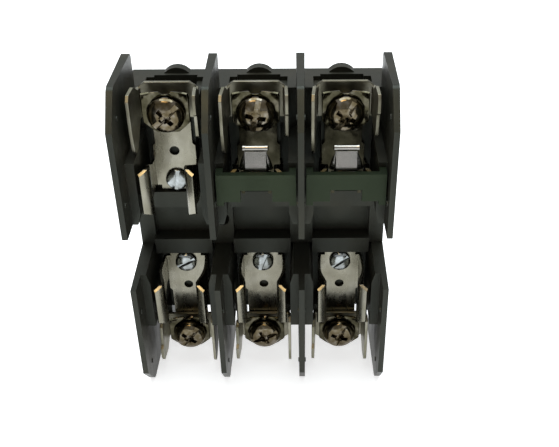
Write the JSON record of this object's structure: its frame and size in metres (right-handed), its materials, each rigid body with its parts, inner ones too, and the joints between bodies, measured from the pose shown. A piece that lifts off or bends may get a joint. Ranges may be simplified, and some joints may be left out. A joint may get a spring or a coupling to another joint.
{
  "type": "cartridge fuse holder",
  "caption": "Open fuse block for ferrule cartridge fuses: moulded base with tall partitions, sprung fuse clips and screw terminals with wire clamps.",
  "frame": {"origin": "centre of the flat mounting face at the back of the base", "axes": "+X across the poles, +Z along the block towards the line end, which is up in the picture, and the front with the clips faces -Y"},
  "size_m": [0.0786, 0.045, 0.1064],
  "materials": {
    "moulding": "black thermoset moulding, satin with a faint green tint",
    "clip_plating": "bright tin plating on spring copper alloy",
    "clamp_metal": "bright nickel plating",
    "screw_metal": "nickel-plated steel with a warm tint",
    "nut_steel": "zinc-plated steel"
  },
  "bodies": {
    "block": {"base": "moulding", "line_clip_1": "clip_plating", "line_clip_screw_1": "screw_metal", "line_terminal_channel_1": "clip_plating", "line_terminal_nut_1": "nut_steel", "line_clip_2": "clip_plating", "line_clip_screw_2": "screw_metal", "line_terminal_channel_2": "clip_plating", "line_terminal_nut_2": "nut_steel", "line_clip_3": "clip_plating", "line_clip_screw_3": "screw_metal", "line_terminal_channel_3": "clip_plating", "line_terminal_nut_3": "nut_steel", "load_clip_1": "clip_plating", "load_clip_screw_1": "screw_metal", "load_terminal_channel_1": "clip_plating", "load_terminal_nut_1": "nut_steel", "load_clip_2": "clip_plating", "load_clip_screw_2": "screw_metal", "load_terminal_channel_2": "clip_plating", "load_terminal_nut_2": "nut_steel", "load_clip_3": "clip_plating", "load_clip_screw_3": "screw_metal", "load_terminal_channel_3": "clip_plating", "load_terminal_nut_3": "nut_steel"},
    "line_clamp_1": {"line_wire_clamp_1": "clamp_metal"},
    "line_screw_1": {"line_terminal_screw_1": "screw_metal"},
    "line_clamp_2": {"line_wire_clamp_2": "clamp_metal"},
    "line_screw_2": {"line_terminal_screw_2": "screw_metal"},
    "line_clamp_3": {"line_wire_clamp_3": "clamp_metal"},
    "line_screw_3": {"line_terminal_screw_3": "screw_metal"},
    "load_clamp_1": {"load_wire_clamp_1": "clamp_metal"},
    "load_screw_1": {"load_terminal_screw_1": "screw_metal"},
    "load_clamp_2": {"load_wire_clamp_2": "clamp_metal"},
    "load_screw_2": {"load_terminal_screw_2": "screw_metal"},
    "load_clamp_3": {"load_wire_clamp_3": "clamp_metal"},
    "load_screw_3": {"load_terminal_screw_3": "screw_metal"},
    "cover_2": {"clip_cover_2": "moulding", "spring_tab_2": "clip_plating"},
    "cover_3": {"clip_cover_3": "moulding", "spring_tab_3": "clip_plating"}
  },
  "joints": [
    {"name": "line_clamp_travel_1", "type": "slide", "parent": "block", "child": "line_clamp_1", "axis": [0, -1, 0], "range_m": [-0.0042, 0.001]},
    {"name": "line_screw_turn_1", "type": "hinge", "parent": "line_clamp_1", "child": "line_screw_1", "pos_m": [-0.0254, -0.0283, 0.0411], "axis": [0, -1, 0], "range_deg": [-1905, 455]},
    {"name": "line_clamp_travel_2", "type": "slide", "parent": "block", "child": "line_clamp_2", "axis": [0, -1, 0], "range_m": [-0.0042, 0.001]},
    {"name": "line_screw_turn_2", "type": "hinge", "parent": "line_clamp_2", "child": "line_screw_2", "pos_m": [0, -0.0283, 0.0411], "axis": [0, -1, 0], "range_deg": [-1905, 455]},
    {"name": "line_clamp_travel_3", "type": "slide", "parent": "block", "child": "line_clamp_3", "axis": [0, -1, 0], "range_m": [-0.0042, 0.001]},
    {"name": "line_screw_turn_3", "type": "hinge", "parent": "line_clamp_3", "child": "line_screw_3", "pos_m": [0.0254, -0.0283, 0.0411], "axis": [0, -1, 0], "range_deg": [-1905, 455]},
    {"name": "load_clamp_travel_1", "type": "slide", "parent": "block", "child": "load_clamp_1", "axis": [0, -1, 0], "range_m": [-0.0042, 0.001]},
    {"name": "load_screw_turn_1", "type": "hinge", "parent": "load_clamp_1", "child": "load_screw_1", "pos_m": [-0.0254, -0.0283, -0.0411], "axis": [0, -1, 0], "range_deg": [-1905, 455]},
    {"name": "load_clamp_travel_2", "type": "slide", "parent": "block", "child": "load_clamp_2", "axis": [0, -1, 0], "range_m": [-0.0042, 0.001]},
    {"name": "load_screw_turn_2", "type": "hinge", "parent": "load_clamp_2", "child": "load_screw_2", "pos_m": [0, -0.0283, -0.0411], "axis": [0, -1, 0], "range_deg": [-1905, 455]},
    {"name": "load_clamp_travel_3", "type": "slide", "parent": "block", "child": "load_clamp_3", "axis": [0, -1, 0], "range_m": [-0.0042, 0.001]},
    {"name": "load_screw_turn_3", "type": "hinge", "parent": "load_clamp_3", "child": "load_screw_3", "pos_m": [0.0254, -0.0283, -0.0411], "axis": [0, -1, 0], "range_deg": [-1905, 455]},
    {"name": "cover_pull_2", "type": "slide", "parent": "block", "child": "cover_2", "axis": [0, -1, 0], "range_m": [0, 0.02]},
    {"name": "cover_pull_3", "type": "slide", "parent": "block", "child": "cover_3", "axis": [0, -1, 0], "range_m": [0, 0.02]}
  ],
  "couplings": [
    {"joint": "line_screw_turn_1", "follows": "line_clamp_travel_1", "rad_per_m": 7915.8},
    {"joint": "line_screw_turn_2", "follows": "line_clamp_travel_2", "rad_per_m": 7915.8},
    {"joint": "line_screw_turn_3", "follows": "line_clamp_travel_3", "rad_per_m": 7915.8},
    {"joint": "load_screw_turn_1", "follows": "load_clamp_travel_1", "rad_per_m": 7915.8},
    {"joint": "load_screw_turn_2", "follows": "load_clamp_travel_2", "rad_per_m": 7915.8},
    {"joint": "load_screw_turn_3", "follows": "load_clamp_travel_3", "rad_per_m": 7915.8}
  ]
}
